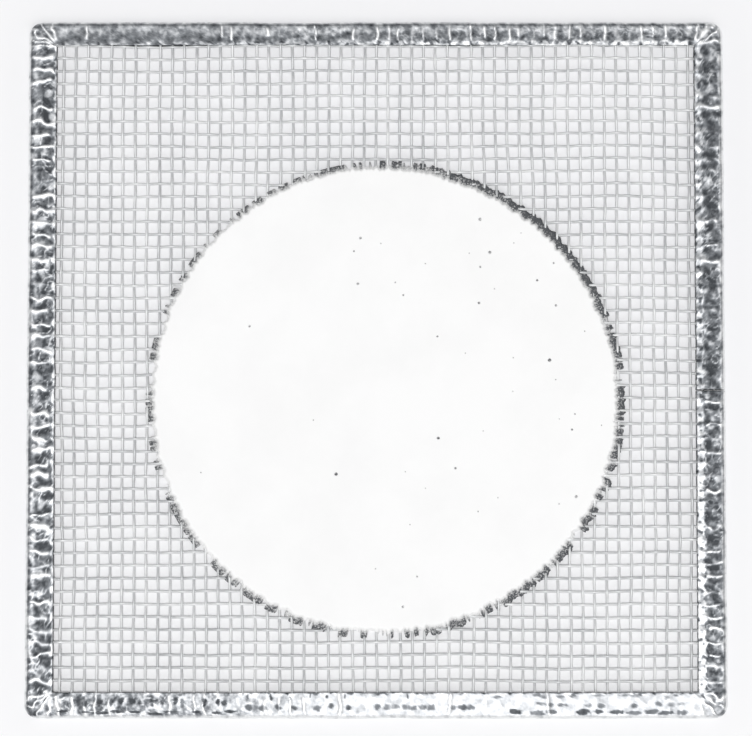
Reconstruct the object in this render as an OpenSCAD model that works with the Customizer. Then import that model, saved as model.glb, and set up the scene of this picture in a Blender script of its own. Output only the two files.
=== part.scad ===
// Wire gauze with a ceramic centre, lying flat.
// A square of plain-woven galvanised wire, bound by one thin steel strip that is
// folded over its four edges, with a round ceramic pad pressed through the mesh.
// +Z is up. The origin is under the middle of the square, on the surface it lies on.
// The warp wires run along Y and the weft wires along X.

/* [Overall] */
// Outer length of each side of the square
side = 125; // [100:1:150]
// Outer radius of the four corners, seen from above
corner_r = 2.5; // [1.5:0.1:3.5]

/* [Wire mesh] */
// Diameter of the wire
wire_d = 0.45; // [0.35:0.01:0.55]
// Spacing of the warp wires
warp_pitch = 2.16; // [1.8:0.01:2.7]
// Spacing of the weft wires
weft_pitch = 2.28; // [1.9:0.01:2.8]
// Clearance between two wires where they cross
weave_gap = 0.02; // [0.01:0.01:0.05]

/* [Edge strip] */
// Width of the strip on both faces of the mesh: right, far, left and near side
strip_w = [5.3, 4.3, 5.1, 4.7]; // [3.6:0.1:6]
// Thickness of the sheet steel
sheet_t = 0.25; // [0.2:0.01:0.35]
// Clearance between the wire crests and the inside of the strip
strip_fit = 0.03; // [0.01:0.01:0.1]
// Clearance between the wire ends and the inside of the fold
end_fit = 0.2; // [0.15:0.01:0.3]
// Clearance between the outermost wires and the inside of the rounded corners
corner_fit = 0.08; // [0.05:0.01:0.2]
// Height of the ridges that the wires press up in the strip
ridge_h = 0.12; // [0.06:0.01:0.15]
// Plain margin between a ridge and the inner edge of the strip
lip_w = 0.5; // [0.3:0.1:1]
// Distance from the inner corner of the strip to the start of its corner pleats
pleat_in = 1.1; // [0.9:0.1:1.5]
// Distance from the end of a ridge or pleat to the round of the fold
ridge_end = 0.1; // [0.05:0.05:0.5]
// Gap between the two ends of the strip
seam_gap = 0.2; // [0.1:0.05:0.5]
// Place of that gap along the right-hand side, from the middle
seam_y = -4; // [-40:1:40]

/* [Ceramic centre] */
// Diameter of the ceramic pad
ceramic_d = 84; // [60:1:95]
// Thickness of the ceramic pad
ceramic_t = 2.2; // [1.8:0.1:3]
// Bevel of its two rims
ceramic_bevel = 0.35; // [0.1:0.05:0.5]
// Offset of the pad from the middle of the square
ceramic_offset = [1.9, -5.8]; // [-6:0.1:6]
// Clearance round the wires inside the pad
channel_fit = 0.05; // [0.02:0.01:0.08]

/* [Hidden] */
wire_fn = 24;
round_fn = 96;

// Crimp height: how far apart the two wire centres are where they cross. Each wire runs
// straight from crest to crest, so the nearest points of two crossing wires lie a little
// to the side of the crossing, and the height makes up for that.
cross_d = wire_d + weave_gap;
crimp_h = cross_d / sqrt(1 - pow(cross_d / warp_pitch, 2) - pow(cross_d / weft_pitch, 2));
wire_slope = atan(crimp_h / min(warp_pitch, weft_pitch));
// Half the thickness of the woven mesh, at its highest crest
mesh_half = crimp_h / 2 + wire_d / 2 / cos(wire_slope);

// The strip's section: a half-round fold and two flat legs
strip_in = mesh_half + strip_fit;
fold_r = strip_in + sheet_t;
// Length of each side between its two rounded corners
straight = side - 2 * corner_r;

// Wires lie side by side as far out as the fold and the rounded corners leave them room
bend_r = corner_r - sheet_t - corner_fit;
wire_room = min(side / 2 - fold_r, straight / 2 + bend_r / sqrt(2)) - wire_d / 2;
wire_reach = side / 2 - sheet_t - end_fit;
warp_n = floor(2 * wire_room / warp_pitch) + 1;
weft_n = floor(2 * wire_room / weft_pitch) + 1;

// Mid-plane of the mesh above the surface: the pad is the thickest piece and lies on it
mesh_z = ceramic_t / 2;
channel_w = wire_d + 2 * channel_fit;
channel_h = 2 * (mesh_half + channel_fit);
// The weft channels are this much higher, so that no two roofs lie in one plane
channel_step = 0.01;

ridge_r = (sheet_t + ridge_h) / 2 - 0.01;
ridge_z = fold_r + ridge_h - ridge_r;
pleat_angles = [18, 45, 72];

// Place of wire i of n wires that are one pitch apart
function place(i, n, pitch) = (i - (n - 1) / 2) * pitch;

// How far out a wire ends whose place is p: it is cut shorter where it runs into a corner
function wire_end(p) =
    let (over = max(0, abs(p) + wire_d / 2 - straight / 2))
    min(wire_reach, straight / 2 + sqrt(bend_r * bend_r - over * over));

// The four sides are numbered anticlockwise from the right-hand one, which is 0.
// How far the strip's inner edge is from the middle on side k:
function inner(k) = side / 2 - strip_w[k % 4];
// How far a ridge or pleat runs out from that inner edge:
function ridge_reach(k) = strip_w[k % 4] - fold_r - ridge_end;

// One straight run of wire along X, from half a pitch before its middle to the given length
// from there. It climbs through the mid-plane at its middle if climb is 1, and falls if it is
// -1. Both ends are cut by upright planes, so the next run meets it in a mitre.
module wire_run(pitch, length, climb) {
    slope = atan(crimp_h / pitch);
    intersection() {
        rotate([0, 90 - climb * slope, 0])
            cylinder(d = wire_d, h = 2 * pitch, center = true, $fn = wire_fn);
        translate([-pitch / 2, -wire_d, -wire_d - crimp_h])
            cube([length, 2 * wire_d, 2 * (wire_d + crimp_h)]);
    }
}

// One crimped wire along X that passes over and under n crossing wires in turn and ends at
// reach, or a third of a pitch past the mid-plane, before it comes near the fold.
// first is 1 if it passes over the first of them and -1 if it passes under.
module crimped_wire(n, pitch, first, reach) {
    last = n % 2 == 1 ? first : -first;
    end_run = min(reach, place(n - 0.5, n, pitch) + pitch / 3) - place(n - 1, n, pitch);
    for (i = [0 : n - 2])
        translate([place(i + 0.5, n, pitch), 0, 0])
            wire_run(pitch, pitch, i % 2 == 0 ? -first : first);
    translate([place(n - 0.5, n, pitch), 0, 0]) wire_run(pitch, end_run, -last);
    rotate([0, 0, 180])
        translate([place(n - 0.5, n, pitch), 0, 0]) wire_run(pitch, end_run, -first);
}

// Every second warp wire, from wire number start
module warp_wires(start) {
    color("silver") translate([0, 0, mesh_z])
        for (i = [start : 2 : warp_n - 1])
            let (x = place(i, warp_n, warp_pitch))
                translate([x, 0, 0]) rotate([0, 0, 90])
                    crimped_wire(weft_n, weft_pitch, start == 0 ? 1 : -1, wire_end(x));
}

// Every second weft wire, from wire number start
module weft_wires(start) {
    color("lightgray") translate([0, 0, mesh_z])
        for (i = [start : 2 : weft_n - 1])
            let (y = place(i, weft_n, weft_pitch))
                translate([0, y, 0])
                    crimped_wire(warp_n, warp_pitch, start == 0 ? -1 : 1, wire_end(y));
}

// Channels in the pad for n parallel wires, running along Y
module channels(n, pitch, middle, height) {
    for (i = [0 : n - 1])
        let (x = place(i, n, pitch))
            if (abs(x - middle) < (ceramic_d + channel_w) / 2)
                translate([x, 0, 0]) cube([channel_w, side, height], center = true);
}

// The ceramic pad: one disc with bevelled rims that fills every mesh it covers, so the
// wires run through it in close channels
module ceramic_centre() {
    color("white") translate([0, 0, mesh_z])
        difference() {
            difference() {
                translate(ceramic_offset) rotate_extrude($fn = round_fn) pad_section();
                channels(warp_n, warp_pitch, ceramic_offset.x, channel_h);
            }
            rotate([0, 0, 90])
                channels(weft_n, weft_pitch, ceramic_offset.y, channel_h + 2 * channel_step);
        }
}

module pad_section() {
    r = ceramic_d / 2;
    h = ceramic_t / 2;
    b = ceramic_bevel;
    polygon([[0, -h], [r - b, -h], [r, b - h], [r, h - b], [r - b, h], [0, h]]);
}

// Half ring: the section of the fold, open to the left
module fold_section() {
    intersection() {
        difference() {
            circle(r = fold_r, $fn = round_fn);
            circle(r = strip_in, $fn = round_fn);
        }
        translate([0, -fold_r]) square([fold_r, 2 * fold_r]);
    }
}

// The half-round fold along all four sides and round the corners
module fold() {
    for (turn = [0 : 90 : 270])
        rotate([0, 0, turn]) {
            translate([side / 2 - fold_r, straight / 2, 0])
                rotate([90, 0, 0]) linear_extrude(straight) fold_section();
            translate([straight / 2, straight / 2, 0])
                rotate_extrude(angle = 90, $fn = round_fn)
                    translate([corner_r - fold_r, 0]) fold_section();
        }
}

// Outline of one flat face of the strip, from the fold to the inner edge
module face_outline() {
    difference() {
        union() {
            square([straight, side - 2 * fold_r], center = true);
            square([side - 2 * fold_r, straight], center = true);
            for (x = [-1, 1], y = [-1, 1])
                translate([x, y] * straight / 2) circle(r = corner_r - fold_r, $fn = round_fn);
        }
        translate([-inner(2), -inner(3)]) square([inner(2) + inner(0), inner(3) + inner(1)]);
    }
}

// The folded strip before its ridges are pressed: two flat faces and the fold
module plain_strip() {
    for (z = [-fold_r, strip_in])
        translate([0, 0, z]) linear_extrude(sheet_t) face_outline();
    fold();
}

// A pressed ridge along X on both faces of the strip
module ridge(length) {
    for (z = [-ridge_z, ridge_z])
        translate([0, 0, z]) rotate([0, 90, 0]) cylinder(r = ridge_r, h = length, $fn = wire_fn);
}

// Ridges over the ends of n wires that run out under side k, made as on the right-hand side
module side_ridges(k, n, pitch) {
    for (i = [0 : n - 1])
        let (y = place(i, n, pitch))
            if (y < inner(k + 1) && y > -inner(k + 3))
                translate([inner(k) + lip_w, y, 0]) ridge(ridge_reach(k) - lip_w);
}

// Pleats where the strip is gathered round the corner between side k and the next one
module corner_pleats(k) {
    reach = min(ridge_reach(k), ridge_reach(k + 1));
    translate([inner(k), inner(k + 1), 0])
        for (a = pleat_angles)
            rotate([0, 0, a]) translate([pleat_in, 0, 0]) ridge(reach - pleat_in);
}

// The edge strip: one length of sheet folded over the mesh and turned round all four
// corners, with its two ends meeting on the right-hand side. Its right and left sides lie
// over the weft wires, and the other two over the warp wires.
module edge_strip() {
    color("gainsboro") translate([0, 0, mesh_z])
        difference() {
            union() {
                plain_strip();
                for (k = [0 : 3])
                    rotate([0, 0, 90 * k]) {
                        if (k % 2 == 0) side_ridges(k, weft_n, weft_pitch);
                        else side_ridges(k, warp_n, warp_pitch);
                        corner_pleats(k);
                    }
            }
            translate([inner(0) - 1, seam_y - seam_gap / 2, -2 * fold_r])
                cube([strip_w[0] + 2, seam_gap, 4 * fold_r]);
        }
}

warp_wires(0);  // warp_wires_odd
warp_wires(1);  // warp_wires_even
weft_wires(0);  // weft_wires_odd
weft_wires(1);  // weft_wires_even
ceramic_centre();
edge_strip();
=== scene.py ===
"""Looks of a square wire gauze with a round ceramic centre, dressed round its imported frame.

Geometry Nodes weave the crimped wires, and mesh code presses the edge strip and the pad.
Lengths are metres, except where a name ends in _mm, and they are in the frame's own axes:
the gauze lies flat and +Z is up.
"""

import logging
import math
import random
from collections.abc import Sequence
from dataclasses import dataclass, field
from enum import Enum
from typing import Any, ClassVar

import bpy
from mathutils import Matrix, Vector, noise
from mathutils.geometry import delaunay_2d_cdt


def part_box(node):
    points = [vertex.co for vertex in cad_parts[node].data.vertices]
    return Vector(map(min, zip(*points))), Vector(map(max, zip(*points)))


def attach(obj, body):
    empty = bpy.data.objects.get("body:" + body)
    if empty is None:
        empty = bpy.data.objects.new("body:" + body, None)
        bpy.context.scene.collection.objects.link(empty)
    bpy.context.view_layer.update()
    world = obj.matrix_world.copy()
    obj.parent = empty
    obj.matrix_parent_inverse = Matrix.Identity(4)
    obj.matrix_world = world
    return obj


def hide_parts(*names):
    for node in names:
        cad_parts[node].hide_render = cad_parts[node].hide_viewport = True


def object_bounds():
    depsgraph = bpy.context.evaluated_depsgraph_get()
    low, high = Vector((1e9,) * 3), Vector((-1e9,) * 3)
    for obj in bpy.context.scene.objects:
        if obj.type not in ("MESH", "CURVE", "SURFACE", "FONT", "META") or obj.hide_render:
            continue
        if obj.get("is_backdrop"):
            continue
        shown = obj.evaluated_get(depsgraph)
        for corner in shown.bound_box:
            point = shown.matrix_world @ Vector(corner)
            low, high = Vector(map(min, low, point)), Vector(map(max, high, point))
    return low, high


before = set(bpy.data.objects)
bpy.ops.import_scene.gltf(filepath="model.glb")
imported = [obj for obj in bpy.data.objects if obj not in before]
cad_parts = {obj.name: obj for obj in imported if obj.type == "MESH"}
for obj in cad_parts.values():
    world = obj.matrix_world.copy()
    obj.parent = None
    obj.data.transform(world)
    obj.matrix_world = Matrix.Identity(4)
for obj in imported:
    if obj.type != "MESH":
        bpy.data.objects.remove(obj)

Pair = tuple[float, float]
Point = tuple[float, float, float]
Face = tuple[int, ...]

MM = 0.001
BODY = "root"
NOISE_MIDDLE = 0.5  # middle of a noise texture's values
NOISE_SPAN = (0.3, 0.7)  # most of them lie between these two
NOISE_GAIN = 4.0  # stretches their distance from the middle to about -1 to 1

log = logging.getLogger("wire_gauze")


class Weave(Enum):
    """Which way a wire runs: the warp along Y, the weft along X."""

    WARP = "warp"
    WEFT = "weft"


class Side(Enum):
    """The four sides of the square, anticlockwise from +X."""

    RIGHT = 0
    FAR = 1
    LEFT = 2
    NEAR = 3


class Skin(Enum):
    """Which part of the folded sheet a point of its section lies on."""

    UPPER = "upper face"
    LOWER = "lower face"
    FOLD = "fold"
    INSIDE = "inside"


# ---------------------------------------------------------------------------------------
# Small helpers
# ---------------------------------------------------------------------------------------


def linear(code: str) -> tuple[float, float, float, float]:
    """Turn an sRGB hex colour into linear values.

    Args:
        code: Colour as "#RRGGBB".

    Returns:
        Red, green, blue and a full alpha, in linear light.
    """
    parts = [int(code[i : i + 2], 16) / 255 for i in (1, 3, 5)]
    light = [c / 12.92 if c <= 0.04045 else ((c + 0.055) / 1.055) ** 2.4 for c in parts]
    return (light[0], light[1], light[2], 1.0)


def add_node(
    tree: bpy.types.NodeTree,
    kind: str,
    inputs: dict[str | int, Any] | None = None,
    stops: Sequence[tuple[float, str]] = (),
    **settings: Any,
) -> bpy.types.Node:
    """Add one node to a tree, set it up and feed its inputs.

    Args:
        tree: Tree that gets the node.
        kind: Blender's name for the node type.
        inputs: For each input, by name or number, its value, or the socket or the node that
            feeds it. A node feeds it from its first output.
        stops: Place and sRGB hex colour of each stop, in order, where it is a colour ramp.
        **settings: Attributes of the node itself.

    Returns:
        The new node.
    """
    node = tree.nodes.new(kind)
    for name, value in settings.items():
        setattr(node, name, value)
    for key, value in (inputs or {}).items():
        source = value.outputs[0] if isinstance(value, bpy.types.Node) else value
        if isinstance(source, bpy.types.NodeSocket):
            tree.links.new(source, node.inputs[key])
        else:
            node.inputs[key].default_value = source
    if stops:
        elements = node.color_ramp.elements
        while len(elements) < len(stops):
            elements.new(1.0)
        for element, (position, code) in zip(elements, stops, strict=True):
            element.position = position
            element.color = linear(code)
    return node


def smooth_step(value: float, low: float, high: float) -> float:
    """Rise smoothly from 0 at low to 1 at high.

    Args:
        value: Where to read the step.
        low: Start of the rise.
        high: End of the rise, which may lie below low for a fall.

    Returns:
        A share from 0 to 1.
    """
    share = min(1.0, max(0.0, (value - low) / (high - low)))
    return share * share * (3 - 2 * share)


def mix(a: float, b: float, share: float) -> float:
    """Blend two numbers by a share from 0 to 1."""
    return a + (b - a) * share


def place(index: float, count: int, pitch: float) -> float:
    """Place of one wire of a centred row, measured across the wires."""
    return (index - (count - 1) / 2) * pitch


def in_mm(x: float, y: float, layer: float = 0.0) -> Vector:
    """A place in millimetres, on a layer of its own where two patterns must not agree."""
    return Vector((x, y, layer * MM)) / MM


def band(first: int, second: int, count: int) -> list[Face]:
    """Join two closed rings of points by four-cornered faces.

    Args:
        first: Number of the first point of one ring.
        second: Number of the first point of the other.
        count: How many points each ring has.

    Returns:
        The faces.
    """
    return [(first + k, first + (k + 1) % count, second + (k + 1) % count, second + k)
            for k in range(count)]


def new_mesh(
    name: str,
    points: list[Point],
    faces: list[Face],
    finish: bpy.types.Material,
    smooth: int = 0,
    **values: list[float],
) -> bpy.types.Mesh:
    """Make a mesh from its points and faces, and give it its finish.

    Args:
        name: Name of the mesh.
        points: Its points.
        faces: The point numbers of each face.
        finish: Its material.
        smooth: How many faces, from the first, are shaded smooth.
        **values: Named values that the finish reads, one for each point.

    Returns:
        The mesh.
    """
    mesh = bpy.data.meshes.new(name)
    mesh.from_pydata(points, [], faces)
    for key, numbers in values.items():
        mesh.attributes.new(key, "FLOAT", "POINT").data.foreach_set("value", numbers)
    mesh.materials.append(finish)
    mesh.polygons.foreach_set("use_smooth", [k < smooth for k in range(len(faces))])
    mesh.update()
    return mesh


def add_object(data: bpy.types.ID) -> bpy.types.Object:
    """Put a mesh, a lamp or a camera into the scene at the origin.

    Args:
        data: The mesh, lamp or camera.

    Returns:
        The object, with the same name.
    """
    holder = bpy.data.objects.new(data.name, data)
    bpy.context.scene.collection.objects.link(holder)
    return holder


def add_piece(mesh: bpy.types.Mesh, node: str) -> bpy.types.Object:
    """Put a finished mesh into the scene as a piece that stands for one node of the frame.

    Args:
        mesh: The mesh, with its place in it.
        node: The node that it stands for.

    Returns:
        The piece, which rides on the gauze's one body.
    """
    piece = add_object(mesh)
    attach(piece, BODY)
    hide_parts(node)
    return piece


@dataclass(frozen=True)
class Uneven:
    """Random unevenness of something made by hand or by press, with one real size."""

    size_mm: float
    strength: float = 1.0  # in the unit of what it changes
    start: Point = (0.0, 0.0, 0.0)  # where in the noise it starts, so that no two agree

    def at(self, where: Vector) -> float:
        """Its value at a place in millimetres: about -1 to 1, times its strength."""
        return self.strength * noise.noise(where / self.size_mm + Vector(self.start))


# ---------------------------------------------------------------------------------------
# Finishes
# ---------------------------------------------------------------------------------------


@dataclass(frozen=True)
class Finish:
    """A material with one Principled shader, which each finish feeds in its own way."""

    name: ClassVar[str]

    def dress(self, tree: bpy.types.NodeTree, where: bpy.types.NodeSocket) -> dict[str, Any]:
        """Make the nodes that feed the shader.

        Args:
            tree: Tree of the material.
            where: Place on the piece, in the object's own coordinates.

        Returns:
            For each input of the shader that the finish sets, its value or the node or
            socket that feeds it.
        """
        raise NotImplementedError

    def build(self) -> bpy.types.Material:
        """Make the material.

        Returns:
            The material, which bears the finish's name.
        """
        material = bpy.data.materials.new(self.name)
        material.use_nodes = True
        tree = material.node_tree
        tree.nodes.clear()
        where = add_node(tree, "ShaderNodeTexCoord").outputs["Object"]
        shader = add_node(tree, "ShaderNodeBsdfPrincipled", self.dress(tree, where))
        add_node(tree, "ShaderNodeOutputMaterial", {"Surface": shader})
        return material


@dataclass(frozen=True)
class DrawnGalvanisedWire(Finish):
    """Hot-dip galvanised drawn steel wire.

    Drawing leaves it round and smooth and the zinc makes it silvery, with a dull bloom that
    comes and goes along each wire and a slightly different grey from wire to wire.
    """

    name: ClassVar[str] = "drawn_galvanised_wire"
    dull: str = "#C0C2C4"
    bright: str = "#EDEEEE"
    bloom_share: float = 1.25  # how much the grey comes and goes along a wire
    wire_share: float = 0.45  # how much it differs from wire to wire
    dulling: float = 0.38  # how much duller all of it is
    metallic: float = 0.3
    roughness: Pair = (0.38, 0.55)  # least and greatest, which follow the bloom
    bloom_mm: float = 5.0  # length of a dull patch along the wire
    grain_mm: float = 0.35  # zinc grain is finer, drawn at the size that still shows
    grain_h: Pair = (0.25, 0.03 * MM)  # strength and height of its relief

    def dress(self, tree: bpy.types.NodeTree, where: bpy.types.NodeSocket) -> dict[str, Any]:
        """Make the bloom along each wire, its own grey and the grain of the zinc.

        Args:
            tree: Tree of the material.
            where: Place on the piece.

        Returns:
            What feeds each input of the shader.
        """
        tone = add_node(tree, "ShaderNodeAttribute", attribute_name="tone")
        bloom = add_node(tree, "ShaderNodeTexNoise", {
            "Vector": where, "Scale": 1 / (self.bloom_mm * MM), "Detail": 3.0,
            "Roughness": 0.6})
        of_wire = add_node(tree, "ShaderNodeMath", {
            0: tone.outputs["Fac"], 1: self.wire_share, 2: -self.dulling},
            operation="MULTIPLY_ADD")
        grey = add_node(tree, "ShaderNodeMath", {0: bloom, 1: self.bloom_share, 2: of_wire},
                        operation="MULTIPLY_ADD", use_clamp=True)
        colour = add_node(tree, "ShaderNodeValToRGB", {"Fac": grey},
                          stops=((0.0, self.dull), (1.0, self.bright)))
        rough = add_node(tree, "ShaderNodeMapRange", {
            "Value": bloom, "From Min": NOISE_SPAN[0], "From Max": NOISE_SPAN[1],
            "To Min": self.roughness[0], "To Max": self.roughness[1]})
        grain = add_node(tree, "ShaderNodeTexNoise", {
            "Vector": where, "Scale": 1 / (self.grain_mm * MM), "Detail": 2.0})
        bump = add_node(tree, "ShaderNodeBump", {
            "Strength": self.grain_h[0], "Distance": self.grain_h[1], "Height": grain})
        return {"Base Color": colour, "Roughness": rough, "Normal": bump,
                "Metallic": self.metallic}


@dataclass(frozen=True)
class CrinkledZincSheet(Finish):
    """Thin galvanised steel sheet, folded and pressed down hard over a woven mesh.

    The crests and creases are rubbed bright by the press tool, and the flats and hollows keep
    the dull grey skin of the zinc, so the sheet looks mottled and cross-barred. Its small dents
    are painted darker. Its outer edge is painted light and its inner lip a painted highlight,
    and the near side is painted brighter, as the light that falls on them.
    """

    name: ClassVar[str] = "crinkled_zinc_sheet"
    stops: tuple[tuple[float, str], ...] = (
        (0.0, "#383B3F"), (0.35, "#74777B"), (0.65, "#B2B4B7"), (1.0, "#ECEDEE"))
    metallic: float = 0.7
    roughness: Pair = (0.56, 0.48)  # of the dull skin and of the rubbed crests
    blotch_mm: float = 1.1  # a zinc grain on thin sheet
    blotch_share: float = 0.5  # how much the grey differs from grain to grain
    scratch_mm: float = 0.3  # rub marks are finer, drawn at the size that still shows
    scratch_h: Pair = (0.35, 0.04 * MM)  # strength and height of their relief

    def dress(self, tree: bpy.types.NodeTree, where: bpy.types.NodeSocket) -> dict[str, Any]:
        """Make the grey of the pressed sheet, its zinc grains and its rub marks.

        Args:
            tree: Tree of the material.
            where: Place on the piece.

        Returns:
            What feeds each input of the shader.
        """
        tone = add_node(tree, "ShaderNodeAttribute", attribute_name="tone")
        blotch = add_node(tree, "ShaderNodeTexNoise", {
            "Vector": where, "Scale": 1 / (self.blotch_mm * MM), "Detail": 4.0,
            "Roughness": 0.65})
        spread = add_node(tree, "ShaderNodeMath", {0: blotch, 1: NOISE_MIDDLE},
                          operation="SUBTRACT")
        grey = add_node(tree, "ShaderNodeMath", {
            0: spread, 1: self.blotch_share, 2: tone.outputs["Fac"]},
            operation="MULTIPLY_ADD", use_clamp=True)
        colour = add_node(tree, "ShaderNodeValToRGB", {"Fac": grey}, stops=self.stops)
        rough = add_node(tree, "ShaderNodeMapRange", {
            "Value": grey, "To Min": self.roughness[0], "To Max": self.roughness[1]})
        scratch = add_node(tree, "ShaderNodeTexNoise", {
            "Vector": where, "Scale": 1 / (self.scratch_mm * MM), "Detail": 3.0,
            "Roughness": 0.7})
        bump = add_node(tree, "ShaderNodeBump", {
            "Strength": self.scratch_h[0], "Distance": self.scratch_h[1], "Height": scratch})
        return {"Base Color": colour, "Roughness": rough, "Normal": bump,
                "Metallic": self.metallic}


@dataclass(frozen=True)
class FiredCeramicPaste(Finish):
    """White ceramic fibre paste, pressed on wet and fired, not glazed.

    It is chalky and quite without gloss, nearly one white, with a fine fibrous grain. Its
    thin foot round the rim is painted dark grey as the pad's shadow, and its pinholes as the
    shade in them.
    """

    name: ClassVar[str] = "fired_ceramic_paste"
    white: str = "#F5F5F5"
    shade: str = "#F2F2F2"
    # Grey of the painted shadow on the foot and of the painted shade in the pinholes
    painted_shadow: str = "#55575A"
    roughness: float = 0.92
    gloss: float = 0.25
    cloud_mm: float = 14.0
    grain_mm: float = 0.45
    grain_h: Pair = (0.3, 0.04 * MM)  # strength and height of its relief
    speck_mm: float = 0.3  # ragged edge of the painted shadow
    speck_share: Pair = (0.35, 1.45)  # how much less or more than its share of painted shadow a speck shows

    def dress(self, tree: bpy.types.NodeTree, where: bpy.types.NodeSocket) -> dict[str, Any]:
        """Make the white of the paste, its specked painted shadow and its grain.

        Args:
            tree: Tree of the material.
            where: Place on the piece.

        Returns:
            What feeds each input of the shader.
        """
        cloud = add_node(tree, "ShaderNodeTexNoise", {
            "Vector": where, "Scale": 1 / (self.cloud_mm * MM), "Detail": 4.0,
            "Roughness": 0.6})
        tint = add_node(tree, "ShaderNodeValToRGB", {"Fac": cloud},
                        stops=((0.35, self.shade), (0.6, self.white)))
        # The painted shadow ends in specks, not in a smooth blend to the white
        thin = add_node(tree, "ShaderNodeAttribute", attribute_name="thin")
        speck = add_node(tree, "ShaderNodeTexNoise", {
            "Vector": where, "Scale": 1 / (self.speck_mm * MM), "Detail": 2.0,
            "Roughness": 0.6})
        reach = add_node(tree, "ShaderNodeMapRange", {
            "Value": speck, "From Min": NOISE_SPAN[0], "From Max": NOISE_SPAN[1],
            "To Min": self.speck_share[0], "To Max": self.speck_share[1]})
        share = add_node(tree, "ShaderNodeMath", {0: thin.outputs["Fac"], 1: reach},
                         operation="MULTIPLY", use_clamp=True)
        # Inputs 6 and 7 and output 2 are the node's colours
        colour = add_node(tree, "ShaderNodeMix", {
            "Factor": share, 6: tint, 7: linear(self.painted_shadow)}, data_type="RGBA")
        grain = add_node(tree, "ShaderNodeTexNoise", {
            "Vector": where, "Scale": 1 / (self.grain_mm * MM), "Detail": 3.0,
            "Roughness": 0.6})
        bump = add_node(tree, "ShaderNodeBump", {
            "Strength": self.grain_h[0], "Distance": self.grain_h[1], "Height": grain})
        return {"Base Color": colour.outputs[2], "Normal": bump,
                "Roughness": self.roughness, "Specular IOR Level": self.gloss}


@dataclass(frozen=True)
class PaleTable(Finish):
    """A plain matt white table top, with the faintest unevenness of its paint."""

    name: ClassVar[str] = "pale_table"
    light: str = "#F4F4F5"
    shade: str = "#F0F0F2"
    cloud_mm: float = 250.0
    roughness: float = 0.8
    gloss: float = 0.2

    def dress(self, tree: bpy.types.NodeTree, where: bpy.types.NodeSocket) -> dict[str, Any]:
        """Make the faint clouds of the paint.

        Args:
            tree: Tree of the material.
            where: Place on the table.

        Returns:
            What feeds each input of the shader.
        """
        cloud = add_node(tree, "ShaderNodeTexNoise", {
            "Vector": where, "Scale": 1 / (self.cloud_mm * MM), "Detail": 2.0})
        colour = add_node(tree, "ShaderNodeValToRGB", {"Fac": cloud}, stops=(
            (NOISE_SPAN[0], self.shade), (NOISE_SPAN[1], self.light)))
        return {"Base Color": colour, "Roughness": self.roughness,
                "Specular IOR Level": self.gloss}


# ---------------------------------------------------------------------------------------
# Woven mesh
# ---------------------------------------------------------------------------------------


@dataclass(frozen=True)
class WireSet:
    """Every second wire of one direction, which is one node of the frame."""

    node: str
    weave: Weave
    start: int  # number of its first wire
    seed: int


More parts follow.
